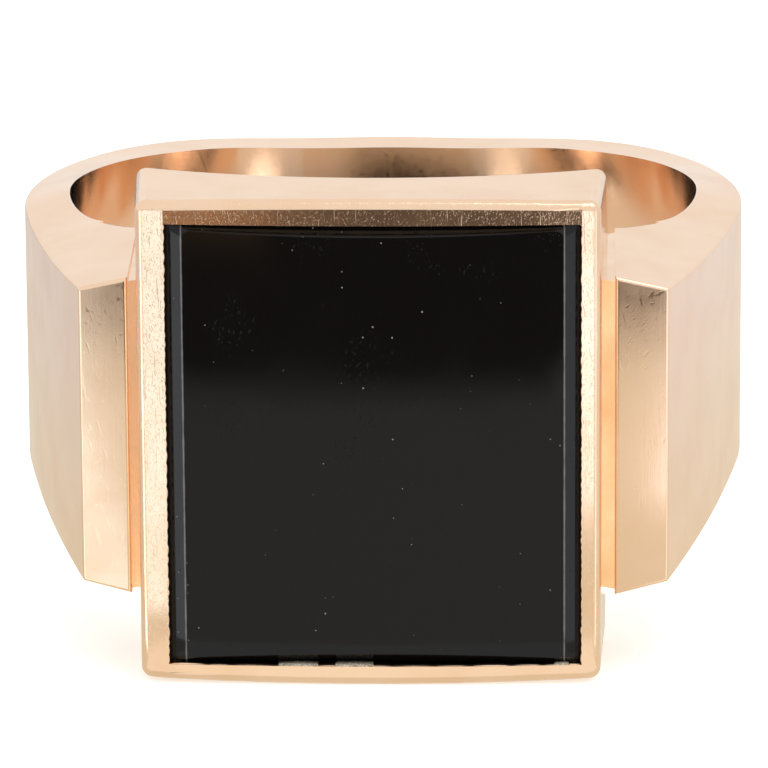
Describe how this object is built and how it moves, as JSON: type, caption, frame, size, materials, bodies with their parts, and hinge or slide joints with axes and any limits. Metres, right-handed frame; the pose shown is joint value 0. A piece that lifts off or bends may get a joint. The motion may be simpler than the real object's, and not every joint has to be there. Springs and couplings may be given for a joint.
{
  "type": "signet ring",
  "caption": "Finger ring with a tapering shank, stepped shoulders and a deep box head holding a rectangular black stone flush in a rim.",
  "frame": {"origin": "centre of the finger hole, half way up the band", "axes": "+Z along the finger, -Y out of the head towards the viewer, +X across the head to its right"},
  "size_m": [0.0228, 0.0247, 0.0154],
  "materials": {
    "rose_gold": "polished rose gold with fine brushing on the outside",
    "cement": "dark setting cement",
    "onyx": "polished black onyx"
  },
  "bodies": {
    "root": {"shank": "rose_gold", "shoulder_left": "rose_gold", "shoulder_right": "rose_gold", "step_plate_left": "rose_gold", "step_plate_right": "rose_gold", "head_collet": "rose_gold", "head_base_plate": "rose_gold", "stone_seat": "rose_gold", "bedding_cement": "cement", "onyx_stone": "onyx"}
  },
  "joints": []
}
